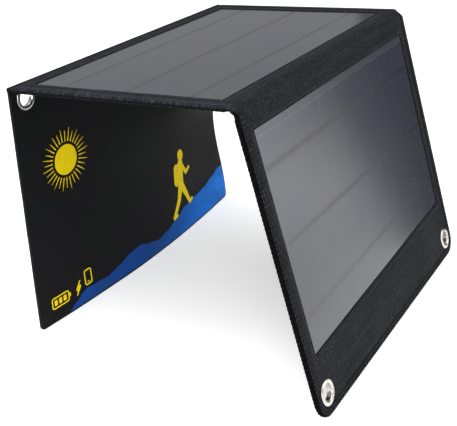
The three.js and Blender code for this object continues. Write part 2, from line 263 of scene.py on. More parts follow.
def add(name, data):
    thing = bpy.data.objects.new(name, data)
    scene.collection.objects.link(thing)
    return thing


def build(name, vertices, faces, look, flat, smooth_angle=40):
    """A piece whose faces point out. flat is each vertex's place on the flat leaf, for its material."""
    mesh = bpy.data.meshes.new(name)
    mesh.from_pydata(np.asarray(vertices).tolist(), [], faces)
    attribute = mesh.attributes.new("flat", "FLOAT_VECTOR", "POINT")
    attribute.data.foreach_set("vector", (np.asarray(flat, float) * MM).ravel())
    mesh.validate()
    whole = bmesh.new()
    whole.from_mesh(mesh)
    bmesh.ops.recalc_face_normals(whole, faces=whole.faces)
    whole.to_mesh(mesh)
    whole.free()
    mesh.shade_smooth()
    mesh.set_sharp_from_angle(angle=radians(smooth_angle))
    mesh.materials.append(looks[look])
    return add(name, mesh)


SNAP = 3.0  # rim points this near to the outline move onto it
SNAP_STEP = 1.5  # the furthest a rim point moves at once
TINY = 0.01


def sheet_mesh(name, xs, ys, inside, front, back, place, look, smooth_angle=40):
    """A closed thin solid over the grid cells where inside(x, y) is negative. Rim points
    move onto the zero line of inside, so a round outline or hole comes out round."""
    nx, ny = len(xs), len(ys)
    px, py = np.meshgrid(xs, ys, indexing="ij")
    cx, cy = np.meshgrid((xs[1:] + xs[:-1]) / 2, (ys[1:] + ys[:-1]) / 2, indexing="ij")
    keep = inside(cx, cy) < 0
    used = np.zeros((nx, ny), int)
    for di in (0, 1):
        for dj in (0, 1):
            used[di:nx - 1 + di, dj:ny - 1 + dj] += keep
    on_rim = (used > 0) & (used < 4)
    for _ in range(2):
        value = inside(px, py)
        slope_x = (inside(px + TINY, py) - value) / TINY
        slope_y = (inside(px, py + TINY) - value) / TINY
        size = np.maximum(slope_x ** 2 + slope_y ** 2, 0.25)
        shift = np.where(on_rim & (np.abs(value) < SNAP), value / size, 0)
        px = px - np.clip(shift * slope_x, -SNAP_STEP, SNAP_STEP)
        py = py - np.clip(shift * slope_y, -SNAP_STEP, SNAP_STEP)
    fx, fy = px[used > 0], py[used > 0]
    half = len(fx)
    index = -np.ones((nx, ny), int)
    index[used > 0] = np.arange(half)
    points = np.concatenate([np.stack([fx, fy, face(fx, fy)], 1) for face in (front, back)])
    corners = (index[:-1, :-1], index[1:, :-1], index[1:, 1:], index[:-1, 1:])
    quads = np.stack([corner[keep] for corner in corners], 1)
    edges = {}
    for face in quads.tolist():
        for edge in zip(face, face[1:] + face[:1]):
            if not edges.pop(edge[::-1], False):
                edges[edge] = True
    walls = [[q, p, p + half, q + half] for p, q in edges]
    faces = quads.tolist() + (quads[:, ::-1] + half).tolist() + walls
    return build(name, place(points), faces, look, points, smooth_angle)


STITCH_PITCH = 3.3
STITCH_HALF = STITCH_PITCH * 0.40
STITCH_SIDES = 6
# One stitch's rings: place along it from -1 to 1, height and radius.
STITCH_RINGS = [(-1.0, -0.22, 0.10), (-0.72, 0.12, 0.20), (0.0, 0.20, 0.23), (0.72, 0.12, 0.20),
                (1.0, -0.22, 0.10)]
SCALLOP = 0.42  # how far each stitch draws the binding's edge in
SCALLOP_REACH = 1.2


def sweep(name, path, section, place, look):
    """A closed section (distance in from the edge, height) carried along an edge, left of its way."""
    way = np.gradient(path, axis=0)
    way /= np.linalg.norm(way, axis=1)[:, None]
    inward = np.stack([-way[:, 1], way[:, 0]], 1)
    run, around = run_along(path), run_along(section)
    pulled = SCALLOP * np.cos(tau * run / STITCH_PITCH)
    scallop = np.outer(pulled, np.exp(-section[:, 0] / SCALLOP_REACH))
    points, flat = np.zeros((2, len(path), len(section), 3))
    points[..., :2] = path[:, None] + inward[:, None] * (section[:, 0] - scallop)[..., None]
    points[..., 2] = section[:, 1]
    flat[..., 0] = run[:, None]
    flat[..., 1] = around
    faces = tube_faces(len(path), len(section))
    return build(name, place(points.reshape(-1, 3)), faces, look, flat.reshape(-1, 3))


def stitches(name, rows, place):
    """Rows of thread stitches. Each row is (points x y, height, side), side 1 or -1 for the face."""
    points, faces, flat = [], [], []
    for path, height, face in rows:
        path = np.asarray(path, float)
        run = run_along(path)
        for s in np.arange(STITCH_PITCH / 2, run[-1], STITCH_PITCH):
            centre = np.array([np.interp(s, run, path[:, 0]), np.interp(s, run, path[:, 1])])
            leg = np.searchsorted(run, s) - 1
            heading = (path[leg + 1] - path[leg]) / (run[leg + 1] - run[leg])
            normal = np.array([-heading[1], heading[0]])
            faces += tube_faces(len(STITCH_RINGS), STITCH_SIDES, len(points))
            for reach, lift, radius in STITCH_RINGS:
                for k in range(STITCH_SIDES):
                    turn = tau * k / STITCH_SIDES
                    x, y = centre + heading * reach * STITCH_HALF + normal * radius * cos(turn)
                    points.append((x, y, height + face * (lift + radius * sin(turn) * 0.8)))
                    flat.append((s + reach * STITCH_HALF, turn, 0))
    return build(name, place(points), faces, "thread", flat, 80)


# ---- Materials

def linear(colour, factor=1.0, lift=0.0):
    """A screen colour, 0 to 255, as the shader's linear colour, scaled and lifted."""
    def channel(value):
        value /= 255
        return value / 12.92 if value <= 0.04045 else ((value + 0.055) / 1.055) ** 2.4
    return (*(min(1.0, channel(value) * factor + lift) for value in colour), 1.0)


class Look:
    """A node material under construction. A colour of three numbers is a screen colour."""

    def __init__(self, name, **settings):
        self.material = bpy.data.materials.new(name)
        self.material.use_nodes = True
        self.tree = self.material.node_tree
        self.shader = self.tree.nodes["Principled BSDF"]
        for socket, value in settings.items():
            self.shader.inputs[socket.replace("_", " ")].default_value = value
        looks[name] = self.material

    def feed(self, socket, value):
        if isinstance(value, bpy.types.NodeSocket):
            self.tree.links.new(value, socket)
        else:
            socket.default_value = value

    def node(self, kind, inputs=None, **settings):
        """The outputs of a new node, with its inputs fed by name or number."""
        node = self.tree.nodes.new("ShaderNode" + kind)
        for key, value in settings.items():
            setattr(node, key, value)
        for key, value in (inputs or {}).items():
            self.feed(node.inputs[key], value)
        return node.outputs

    def calc(self, operation, a, b=0.0, c=0.0):
        return self.node("Math", {0: a, 1: b, 2: c}, operation=operation)[0]

    def times(self, a, b):
        return self.calc("MULTIPLY", a, b)

    def distance(self, value, centre):
        return self.calc("ABSOLUTE", self.calc("SUBTRACT", value, centre))

    def span(self, value, low, high, new_low=0.0, new_high=1.0):
        return self.node("MapRange", {0: value, 1: low, 2: high, 3: new_low, 4: new_high})[0]

    def flat(self):
        """The piece's own flat coordinates, in metres."""
        return self.node("Attribute", attribute_name="flat")["Vector"]

    def object_place(self):
        return self.node("TexCoord")["Object"]

    def split(self, vector):
        return self.node("SeparateXYZ", {0: vector})

    def noise(self, vector, size, detail=2.0, rough=0.5, stretch=None):
        if stretch:
            vector = self.node("Mapping", {"Vector": vector, "Scale": stretch})[0]
        return self.node("TexNoise", {"Vector": vector, "Scale": 1 / size, "Detail": detail,
                                      "Roughness": rough})["Fac"]

    def ramp(self, value, *stops):
        out = self.node("ValToRGB", {0: value})[0]
        elements = out.node.color_ramp.elements
        while len(elements) < len(stops):
            elements.new(0.5)
        for element, (place, colour) in zip(elements, stops):
            element.position = place
            element.color = linear(colour) if len(colour) == 3 else colour
        return out

    def mix(self, share, a, b, blend="MIX"):
        a, b = (linear(c) if isinstance(c, tuple) and len(c) == 3 else c for c in (a, b))
        return self.node("Mix", {"Factor": share, 6: a, 7: b}, data_type="RGBA", blend_type=blend)[2]

    def surface(self, colour, roughness=None, height=None, relief=0.0):
        """Feeds the shader its colour, roughness and bump."""
        self.feed(self.shader.inputs["Base Color"], colour)
        if roughness:
            self.feed(self.shader.inputs["Roughness"], roughness)
        if height:
            bumped = self.node("Bump", {"Distance": relief, "Height": height})[0]
            self.feed(self.shader.inputs["Normal"], bumped)

    def weave(self, vector, pitch):
        """A plain weave: mounds where the warp and weft take turns on top."""
        x, y, _ = self.split(vector)
        warp, weft = (self.calc("SINE", self.times(way, tau / pitch)) for way in (x, y))
        return self.times(warp, weft)


# The strip of a cloth that rolls round an edge or a fold, darkened with painted shade: flat axis, start and
# finish.
SIDE_ROLL = (1, 0.0042, 0.0121)
TOP_ROLL = (1, 0.0074, 0.0121)
FOLD_ROLL = (0, -0.0030, 0.0030)
ROLL_FADE = 0.0003
ROLL_SHADE = 0.22


def cloth_look(name, dark, light, pitch=0.0011, relief=0.00022, fleck=0.5, rolled=None, gloss=0.09):
    """Woven cloth of flecked threads, with slubs, streaks and broad wear; its brightest flecks are partly a
    painted highlight, and a rolled strip is darkened with painted shade.
    """
    look = Look(name, Roughness=0.85, Specular_IOR_Level=gloss, Sheen_Weight=0.05 * gloss,
                Sheen_Roughness=0.3)
    flat = look.flat()
    threads = look.noise(flat, pitch * 0.9, 3.0, 0.6, (1.0, 0.55, 1.0))
    slubs = look.noise(flat, 0.0016, 2.0, 0.5, (1.0, 0.6, 1.0))
    streak = look.noise(flat, 0.005, 3.0, 0.6, (1.0, 0.07, 1.0))
    broad = look.noise(flat, 0.045, 3.0)
    mound = look.span(look.weave(flat, pitch), -1.0, 1.0)
    share = look.calc("MULTIPLY_ADD", threads, fleck, look.times(mound, 1 - fleck))
    share = look.calc("ADD", share, look.span(slubs, 0.25, 0.75, -0.20, 0.20))
    # The top stop, three times the light colour, marks the brightest threads and weave crossings: partly their own
    # fleck, partly a painted highlight.
    colour = look.ramp(share, (0.22, dark), (0.60, light), (0.78, linear(light, 3.0)))
    tone_and_rolled_shade = look.times(look.span(broad, 0.3, 0.75, 0.8, 1.2), look.span(streak, 0.35, 0.75, 0.85, 1.45))
    # Painted shade: the rolled strip is darkened by ROLL_SHADE, where the cloth turns away from the light.
    if rolled:
        axis, start, finish = rolled
        across = look.split(flat)[axis]
        turned = look.times(look.span(across, start, start + ROLL_FADE),
                            look.span(across, finish, finish + ROLL_FADE, 1.0, 0.0))
        tone_and_rolled_shade = look.times(tone_and_rolled_shade, look.span(turned, 0.0, 1.0, 1.0, ROLL_SHADE))
    look.surface(look.mix(1.0, colour, tone_and_rolled_shade, "MULTIPLY"), look.span(threads, 0.2, 0.8, 0.72, 0.95),
                 look.calc("MULTIPLY_ADD", threads, 0.7, mound), relief)


RIBBON_SHARE = 0.50  # how strongly the ribbons show through the film
STRIP_SHARE = 0.10  # and the gaps between the cell strips


def film_look(name, start, margin_share):
    """Satin top film over dark cells: ribbons, strips, and a pale margin and fine line at the fold side, painted
    highlight along the clear border.
    """
    look = Look(name, IOR=1.5, Coat_Weight=0.2, Coat_Roughness=0.3, Coat_IOR=1.45)
    flat = look.flat()
    x, y, _ = look.split(flat)
    broad = look.noise(flat, 0.11)
    cell = look.ramp(broad, (0.25, (34, 36, 50)), (0.55, (40, 41, 50)), (0.8, (38, 40, 42)))
    grain = look.noise(flat, 0.0016)
    cell = look.mix(look.span(grain, 0.3, 0.7, 0.0, 0.12), cell, (84, 84, 92))
    near = [look.span(look.distance(x, (start + place * WINDOW) * MM), 0.0003, 0.0034, 1.0, 0.0)
            for place in RIBBONS]
    ribbons = look.calc("MAXIMUM", look.calc("MAXIMUM", near[0], near[1]), near[2])
    cell = look.mix(look.times(ribbons, RIBBON_SHARE), cell, (10, 10, 13))
    cells = look.calc("DIVIDE", look.calc("SUBTRACT", y, CELLS_START * MM), CELL_PITCH * MM)
    off_middle = look.distance(look.calc("FRACT", cells), 0.5)
    cell = look.mix(look.span(off_middle, 0.475, 0.49, 0.0, STRIP_SHARE), cell, (30, 30, 36))
    # Painted highlight: the pale margin and the fine line beside it, as strong as margin_share; the margin is also
    # the laminate's clear border.
    margin = look.span(x, (start + MARGIN[0]) * MM, (start + MARGIN[1]) * MM, margin_share, 0.0)
    cell = look.mix(margin, cell, (126, 126, 130))
    line = look.span(look.distance(x, (start + MARGIN_LINE) * MM), 0.0002, 0.0005, margin_share, 0.0)
    roughness = look.calc("MULTIPLY_ADD", ribbons, 0.08, look.span(grain, 0.2, 0.8, 0.22, 0.26))
    look.surface(look.mix(line, cell, (170, 170, 176)), roughness, grain, 0.000008)


PRINT_WEAVE = 0.0007  # pitch of the fine weave under the print


def print_look(name):
    """Smooth dark cloth that takes the print."""
    look = Look(name, Roughness=0.5, Specular_IOR_Level=0.06)
    flat = look.flat()
    broad = look.noise(flat, 0.09)
    height = look.calc("ADD", look.weave(flat, PRINT_WEAVE), look.noise(flat, 0.004, 3.0))
    look.surface(look.ramp(broad, (0.3, (6, 9, 8)), (0.7, (17, 16, 20))),
                 look.span(broad, 0.3, 0.7, 0.42, 0.55), height, 0.00006)


def ink_look(name, base, other, along=None, brushed=None):
    """Screen-printed ink; along = (from y, to y) in metres fades it from base to other, and
    brushed is the colour of soft strokes over that."""
    look = Look(name, Roughness=0.5, Specular_IOR_Level=0.05)
    flat = look.flat()
    mottled = look.noise(flat, 0.006, 4.0, 0.7)
    share = look.span(mottled, 0.35, 0.75, 0.0, 0.6)
    if along:
        fade = look.span(look.split(flat)[1], *along)
        share = look.calc("ADD", fade, look.times(share, 0.3))
    ink = look.mix(share, base, other)
    if brushed:
        strokes = look.noise(flat, 0.022, 3.0, 0.6, (1.0, 0.45, 1.0))
        ink = look.mix(look.span(strokes, 0.42, 0.68, 0.0, 0.55), ink, brushed)
    look.surface(ink, look.span(mottled, 0.3, 0.7, 0.4, 0.6), look.weave(flat, PRINT_WEAVE), 0.00005)


def metal_look(name, colour, roughness, scratch=0.3):
    """Bright metal with fine scratches and a little tarnish."""
    look = Look(name, Metallic=1.0)
    place = look.object_place()
    fine = look.noise(place, 0.0012, 4.0, 0.65, (1.0, 1.0, 4.0))
    broad = look.noise(place, 0.005)
    tarnished = look.mix(look.span(broad, 0.45, 0.8, 0.0, 0.5), colour, linear(colour, 0.55))
    look.surface(tarnished, look.span(fine, 0.3, 0.75, roughness, roughness + scratch), fine, 0.00002)


def plastic_look(name, colour, roughness=0.5, grain=0.0004, relief=0.00003, **settings):
    """Moulded plastic with a fine grain."""
    look = Look(name, Roughness=roughness, **settings)
    place = look.object_place()
    speck = look.noise(place, grain, 3.0)
    broad = look.noise(place, 0.01)
    mottled = look.mix(look.span(broad, 0.35, 0.7), colour, linear(colour, 1.35, 0.004))
    look.surface(mottled, look.span(speck, 0.3, 0.7, roughness - 0.06, roughness + 0.08), speck, relief)


FINGER_PITCH = 0.0019


def cell_look(name):
    """Dark crystal under thin pale fingers."""
    look = Look(name, Roughness=0.3, Metallic=0.25, Coat_Weight=0.5)
    place = look.object_place()
    x, _, z = look.split(place)
    finger = look.calc("SINE", look.times(look.calc("ADD", x, z), tau / FINGER_PITCH))
    crystal = look.noise(place, 0.012, 1.0)
    base = look.ramp(crystal, (0.3, (24, 28, 46)), (0.7, (34, 38, 58)))
    colour = look.mix(look.span(finger, 0.86, 0.97, 0.0, 0.6), base, (150, 152, 156))
    look.surface(colour, None, finger, 0.00001)


cloth_look("woven_cloth", (5, 5, 7), (26, 27, 31))
# edge_binding and top_binding are one tape: the top leaf's copy is lighter, painted light, and the side leaf's
# copy darker, painted shade.
cloth_look("edge_binding", (4, 4, 5), (21, 21, 24), 0.0011, 0.00025, 0.55, SIDE_ROLL, 0.04)
cloth_look("top_binding", (5, 5, 7), (34, 35, 40), 0.0011, 0.00025, 0.55, TOP_ROLL, 0.06)
cloth_look("lining_cloth", (8, 8, 10), (30, 30, 34), 0.0008, 0.00014, 0.4, FOLD_ROLL)
cloth_look("zip_tape", (14, 14, 16), (34, 34, 37), 0.0006, 0.00012, 0.35)
cloth_look("thread", (20, 20, 22), (64, 64, 70), 0.0005, 0.00008)
print_look("printed_face")
film_look("top_film", TOP_START, 0.0)
film_look("side_film", SIDE_START, 0.06)
ink_look("ink_yellow", (226, 200, 0), (206, 180, 0))
ink_look("ink_blue", (10, 58, 130), (0, 108, 206), (0.14, 0.27), (26, 58, 104))
metal_look("grommet_metal", (196, 193, 188), 0.16, 0.2)
metal_look("zip_metal", (142, 144, 148), 0.28)
metal_look("socket_shell", (200, 202, 206), 0.25)
metal_look("busbar_ribbon", (190, 192, 196), 0.3)
cell_look("solar_cell")
plastic_look("backing_board", (210, 210, 205), 0.7, 0.001)
# Black strip for the shadow gap round each window: painted shade, partly a seal.
plastic_look("window_seal", (7, 7, 8), 0.8, 0.0005, 0.00004, Specular_IOR_Level=0.08)
plastic_look("zip_coil", (24, 24, 26), 0.42)
plastic_look("case_plastic", (30, 31, 34), 0.6, 0.0003, 0.00004)
plastic_look("circuit_board", (24, 92, 54), 0.45)
plastic_look("lead_jacket", (18, 18, 20), 0.55)

for entry in frame["record"]["subparts"]:
    materials = frame["nodes"][entry["node"]].data.materials
    materials.clear()
    materials.append(looks.get(entry["material_slot"], looks["top_film"]))

# The widths, in metres, of the soft edges on the hard pieces that stay as they are.
SOFT_EDGES = {"zip_slider": 0.00035, "zip_puller": 0.00022, "case_base": 0.0004, "case_lid": 0.0005,
              "controller_pcb": 0.00015, "usb_socket_1": 0.0001, "usb_socket_2": 0.0001}
for name, width in SOFT_EDGES.items():
    bevel = frame["nodes"][name].modifiers.new("soft_edges", "BEVEL")
    bevel.width = width
    bevel.segments = 3
    bevel.limit_method = "ANGLE"


# ---- How pieces join the bodies

def join(piece, slot, to, *replaced):
    """to is the body that a piece rides on, or a fold (body, body, start, end), for which the piece only has its
    place fixed in the world.
    """
    if replaced:
        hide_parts(*replaced)
    if isinstance(to, str):
        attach(piece, to)
    else:
        body_a, body_b, start, end = to
        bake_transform(piece)
        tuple(start)
        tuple(end)
    return piece


def fold(body_a, body_b, place, start, end, z):
    """What join() needs for a fold that turns from start to end of its leaf."""
    first, last = place([(start, LENGTH / 2, z), (end, LENGTH / 2, z)])
    return body_a, body_b, tuple(first), tuple(last)


near_fold = fold("top_leaf", "fold_spine", on_top, NEAR_LINE - BEND_RUN, NEAR_END, MIDDLE)
far_fold = fold("fold_spine", "side_leaf", on_side, FAR_END, LINE_INSET + BEND_RUN, MIDDLE)
cover_fold = fold("top_leaf", "cover", on_cover, -COVER_RUN, COVER_RUN, COVER_THICKNESS / 2)


# ---- Solar leaves: cloth skins

SEAM = 2.7  # from the window's edge to its stitch row
EDGE_ROWS = (1.9, 4.6)  # stitch rows on the binding, in from the edge
SKIN_EDGE = 1.2  # the skins end inside the binding
STEP = 2.4
BEND_STEP = 1.3  # finer grid lines beside a bending line
CLOTH_HOLE = 7.6
GROMMET_X = 210.8
GROMMET_INSET = 16.2
COVER_GROMMET_X = 11.1
COVER_GROMMET_INSET = 16.0
FAR_OFF = 400.0  # well past any edge, where an outline stays open


def window_distance(x, y, start):
    return box_distance(x, y, start, start + WINDOW, BORDER, LENGTH - BORDER)


def front_height(start, seed):
    """Rippled cloth that swells between its seams, and dips at the seam and the window's edge."""
    def height(x, y):
        gap = window_distance(x, y, start)
        edge = np.minimum(y, LENGTH - y)
        z = ripples(x, y, 16, 70, 0.10, seed)
        z += 0.16 * rise(gap, 1, 5) * rise(edge, BINDING, 3)
        z -= 0.28 * bell(gap, SEAM, 0.9)
        z -= 0.22 * np.exp(-np.maximum(gap, 0) / 0.5)
        return z
    return height


def side_front_height(x, y):
    """The side leaf has a soft ridge and a softer hollow along its foot, which wander a little."""
    z = front_height(SIDE_START, 5)(x, y)
    ridge = 199.5 + 1.4 * np.sin(y / 31.0) + 0.8 * np.sin(y / 12.0 + 1.0)
    hollow = 208.0 + 1.8 * np.sin(y / 44.0 + 2.0)
    z += 0.42 * bell(x, ridge, 1.5) * rise(y, 22, 20) * (1 - rise(y, 258, 20))
    z -= 0.25 * bell(x, hollow, 2.6) * rise(y, 40, 30) * (1 - rise(y, 200, 40))
    return z


def back_height(seed):
    return lambda x, y: -THICKNESS + CLOTH + ripples(x, y, 22, 90, 0.12, seed)


def grommet_holes(x, y, centre_x, inset):
    front, back = (CLOTH_HOLE - np.hypot(x - centre_x, y - hole_y) for hole_y in both_edges(inset))
    return np.maximum(front, back)


def top_outline(x, y):
    return box_distance(x, y, CLOTH_START, FAR_OFF, SKIN_EDGE, LENGTH - SKIN_EDGE)


def side_outline(x, y):
    leaf = box_distance(x, y, -FAR_OFF, SIDE_END - SKIN_EDGE, SKIN_EDGE, LENGTH - SKIN_EDGE,
                        FOOT_RADIUS - SKIN_EDGE)
    return np.maximum(leaf, grommet_holes(x, y, GROMMET_X, GROMMET_INSET))


def leaf_skins(prefix, outline, start, run, x_stops, front, back, place, fold, *hidden):
    """A leaf's front cloth, with its window, and its back cloth. run is where they start and end."""
    xs = lines(*run, STEP, [start, start + WINDOW, start - SEAM, start + WINDOW + SEAM, *x_stops])
    ys = lines(SKIN_EDGE, LENGTH - SKIN_EDGE, STEP, both_edges(BORDER, BINDING, BORDER - SEAM))

    def with_window(x, y):
        return np.maximum(outline(x, y), -window_distance(x, y, start))

    skins = []
    for face, shape, height, more in (("front", with_window, front, hidden), ("back", outline, back, ())):
        skin = sheet_mesh(f"{prefix}_{face}_skin", xs, ys, shape, height, lowered(height, CLOTH), place,
                          "woven_cloth")
        skins.append(join(skin, "woven_cloth", fold, f"{prefix}_{face}_cloth", *more))
    return skins


top_skins = leaf_skins(
    "top", top_outline, TOP_START, (CLOTH_START, NEAR_END),
    [NEAR_LINE - BEND_RUN] + [NEAR_LINE + i * BEND_STEP for i in (-2, -1, 0, 1)],
    front_height(TOP_START, 3), back_height(4), on_top, near_fold, "fold_spine")
side_skins = leaf_skins(
    "side", side_outline, SIDE_START, (FAR_END, SIDE_END - SKIN_EDGE),
    [LINE_INSET + BEND_RUN] + [LINE_INSET + i * BEND_STEP for i in (-1, 0, 1, 2)],
    side_front_height, back_height(6), on_side, far_fold)


# ---- Bound edges

# The tape's section, round the leaf's edge: how far in from the edge, and height.
BINDING_SECTION = np.array([
    (BINDING, 0.10), (BINDING, 0.38), (BINDING - 1.0, 0.46), (3.0, 0.42), (1.4, 0.44), (0.5, 0.16),
    (0.08, -0.5), (0.0, -1.2), (0.0, -2.2), (0.08, -2.9), (0.5, -3.56), (1.4, -3.84), (3.0, -3.82),
    (BINDING - 1.0, -3.86), (BINDING, -3.78), (BINDING, -3.50), (1.1, -3.46), (0.9, -2.6), (0.9, -0.8),
    (1.1, 0.06)])


def foot_path(inset):
    """Round the side leaf's three free edges, at a distance in from them."""
    radius = FOOT_RADIUS - inset
    centre_x = SIDE_END - FOOT_RADIUS
    points = [(FAR_END, inset), (centre_x, inset)]
    points += [(centre_x + radius * sin(a), FOOT_RADIUS - radius * cos(a))
               for a in np.linspace(0.1, pi / 2, 14)]
    points += [(x, LENGTH - y) for x, y in reversed(points)]
    return dense(points)


top_edge = dense([(CLOTH_START, 0.0), (NEAR_END, 0.0)])
for face, path in (("front", top_edge), ("back", top_edge[::-1] + (0, LENGTH))):
    tape = sweep(f"top_{face}_tape", path, BINDING_SECTION, on_top, "top_binding")
    join(tape, "edge_binding", near_fold, f"top_binding_{face}")
tape = sweep("side_edge_tape", foot_path(0.0), BINDING_SECTION, on_side, "edge_binding")
join(tape, "edge_binding", far_fold, "side_binding")


# ---- Stitching

TAPE_FACES = ((0.42, 1), (-3.82, -1))  # heights and sides of the binding's two faces
SKIN_FACES = ((-0.12, 1), (-THICKNESS, -1))  # and of the skins'


top_rows, side_rows = [], []
for inset in EDGE_ROWS:
    for height, face in TAPE_FACES:
        top_rows += [([(CLOTH_START + 1, y), (NEAR_END, y)], height, face) for y in both_edges(inset)]
        side_rows.append((foot_path(inset), height, face))
for height, face in SKIN_FACES:
    for rows, start in ((top_rows, TOP_START), (side_rows, SIDE_START)):
        seam = loop(start - SEAM, start + WINDOW + SEAM, BORDER - SEAM, LENGTH - BORDER + SEAM)
        rows.append((seam, height, face))
    top_rows.append(([(CLOTH_START + 1.6, y) for y in both_edges(BINDING + 1)], height, face))
join(stitches("top_stitching", top_rows, on_top), "edge_binding", near_fold)
join(stitches("side_stitching", side_rows, on_side), "edge_binding", far_fold)


# ---- Panels: the top film with the relief of what lies under it

FILM_TOP = -0.7
FILM_BACK = -1.1
FILM_TUCK = 3.5
SEAL = (1.3, 0.3, 1.7)  # width of the black seal at the window's foot, front and back edges, which stands in for the shadow gap there as painted shade
SEAL_FACES = (FILM_TOP + 0.3, FILM_TOP - 0.15)
RIBBON_RISE, RIBBON_REACH = 0.015, 1.2
GAP_DIP, GAP_REACH = 0.006, 0.4


def panel_film(prefix, start, place, body, seed, margin_height):
    """The film over a panel, with its ribbons and strips in relief, and the black seal round it, which is partly
    painted shade of the gap between cloth and film.
    """
    ribbon_x = [start + share * WINDOW for share in RIBBONS]
    gaps = [CELLS_START + i * CELL_PITCH for i in range(1, CELL_COUNT)]
    x_stops = [x + d for x in ribbon_x for d in (-2.0, -1.2, -0.6, 0.0, 0.6, 1.2, 2.0)]
    x_stops += [start + d for d in (*MARGIN, MARGIN_LINE + 0.1, MARGIN_LINE + 0.4)]
    y_stops = [y + d for y in gaps for d in (-0.5, -0.25, 0.25, 0.5)]
    xs = lines(start - FILM_TUCK, start + WINDOW + FILM_TUCK, 5, x_stops)
    ys = lines(BORDER - FILM_TUCK, LENGTH - BORDER + FILM_TUCK, 5, y_stops)

    def relief(x, y):
        z = FILM_TOP + ripples(x, y, 70, 220, 0.05, seed, 8)
        for centre in ribbon_x:
            z = z + RIBBON_RISE * bell(x, centre, RIBBON_REACH)
        for centre in gaps:
            z = z - GAP_DIP * bell(y, centre, GAP_REACH)
        return z + margin_height * (np.abs(x - start - MARGIN_LINE) < 0.25)

    film = sheet_mesh(f"{prefix}_panel_film", xs, ys, level(-1), relief, level(FILM_BACK), place,
                      f"{prefix}_film", 80)
    join(film, "panel_film", body, f"{prefix}_film")
    # Painted shade: a thin black strip round the window's foot, front and back edges, dark as the shadow gap
    # between cloth and film, and partly a seal.
    x1, y0, y1 = start + WINDOW - SEAL[0], BORDER + SEAL[1], LENGTH - BORDER - SEAL[2]

    def frame_shape(x, y):
        return np.maximum(window_distance(x, y, start), -box_distance(x, y, start - 9, x1, y0, y1))

    seal = sheet_mesh(f"{prefix}_window_seal", lines(start, start + WINDOW, 5, [x1]),
                      lines(BORDER, LENGTH - BORDER, 5, [y0, y1]), frame_shape,
                      *map(level, SEAL_FACES), place, "window_seal")
    join(seal, "edge_binding", body)


panel_film("top", TOP_START, on_top, "top_leaf", 11, 0.0)
panel_film("side", SIDE_START, on_side, "side_leaf", 12, 0.02)


# ---- Cover: print, stiffener, lead and lining

TUCK_IN = 9.0  # how far the cover's sheets go inside the top leaf
COVER_CORNER = 3
LINING = (0.0, 0.7)
STIFFENER = (0.8, 1.4)
PRINT = (1.5, COVER_THICKNESS)
LEAD_X, LEAD_Y = 146.0, 183.0  # where the lead turns down, and the line it runs along
LEAD_HALF, LEAD_THIN = 1.3, 0.25  # half its width and thickness
LEAD_DEPTH = -3.0  # where it ends, in the controller's lid
SLOT_HALF = LEAD_HALF + 0.4  # half the width of the lead's slot in the stiffener
BOARD_START = 23
BOARD_INSET = 5
FOLD_STOPS = [-5.4, -4.5, -3.6, -2.4, -1.2, 0, 1.2, 2.4, 3.6]


def cover_outline(x, y):
    sheet = box_distance(x, y, -FAR_OFF, COVER_FOOT, 0, LENGTH, COVER_CORNER)
    return np.maximum(sheet, grommet_holes(x, y, COVER_GROMMET_X, COVER_GROMMET_INSET))


def tucked(x):
    """Beyond the cover fold the lining drops under the top leaf's cloth."""
    return 0.85 * rise(-x, 3.6, 1.6)


def lining_face(x, y):
    return LINING[0] + tucked(x) + ripples(x, y, 30, 110, 0.10, 21) * rise(x, 2, 8)


def lining_inside(x, y):
    return LINING[1] + 0.6 * tucked(x)


def print_face(x, y):
    return PRINT[1] + ripples(x, y, 50, 160, 0.16, 22) * rise(x, 2, 8)


def print_inside(x, y):
    """The print's inner side meets the lining along the three free edges."""
    rim = np.minimum(np.minimum(y, LENGTH - y), COVER_FOOT - x)
    return PRINT[0] - 0.72 * rise(-rim, -3.6, 1.2) * rise(x, 1, 3)


def cover_sheet(name, front, back, look, node):
    xs = lines(-TUCK_IN, COVER_FOOT, 3, FOLD_STOPS + [COVER_FOOT - 4, COVER_FOOT - 2.4])
    ys = lines(0, LENGTH, 3, both_edges(2.4, 4.0))
    return join(sheet_mesh(name, xs, ys, cover_outline, front, back, on_cover, look), look, cover_fold, node)


printed = cover_sheet("cover_printed_face", print_face, print_inside, "printed_face", "cover_print")
lining = cover_sheet("cover_lining_skin", lining_face, lining_inside, "lining_cloth", "cover_lining")


def stiffener_outline(x, y):
    plate = box_distance(x, y, BOARD_START, COVER_FOOT - BOARD_INSET, BOARD_INSET, LENGTH - BOARD_INSET)
    slot = box_distance(x, y, -FAR_OFF, LEAD_X + SLOT_HALF, LEAD_Y - SLOT_HALF, LEAD_Y + SLOT_HALF)
    return np.maximum(plate, -slot)


stiffener = sheet_mesh(
    "cover_stiffener_board", lines(BOARD_START, COVER_FOOT - BOARD_INSET, 5, [LEAD_X + SLOT_HALF]),
    lines(BOARD_INSET, LENGTH - BOARD_INSET, 5, [LEAD_Y - SLOT_HALF, LEAD_Y + SLOT_HALF]),
    stiffener_outline, *map(level, STIFFENER), on_cover, "backing_board")
join(stiffener, "backing_board", "cover", "cover_stiffener")


def panel_lead():
    """A flat lead in the stiffener's slot that turns down into the controller's lid."""
    middle = (STIFFENER[0] + STIFFENER[1]) / 2
    drop_x = LEAD_X + 0.5
    bow, drop_bow = (float(cover_bow(np.array(x), np.array(LEAD_Y))) for x in (LEAD_X, drop_x))
    run = [(x, middle, 0.0, LEAD_THIN) for x in np.arange(5, LEAD_X + 0.1, 4.7)]
    drop = [(drop_x, z - drop_bow, 0.3, 0.0) for z in (middle + bow - 0.6, middle + bow - 1.6, LEAD_DEPTH)]
    points = [(x + sign * dx, LEAD_Y + across * LEAD_HALF, z + sign * dz)
              for x, z, dx, dz in run + drop for across, sign in ((-1, -1), (1, -1), (1, 1), (-1, 1))]
    return build("panel_lead_run", on_cover(points), tube_faces(len(run + drop), 4), "lead_jacket", points)


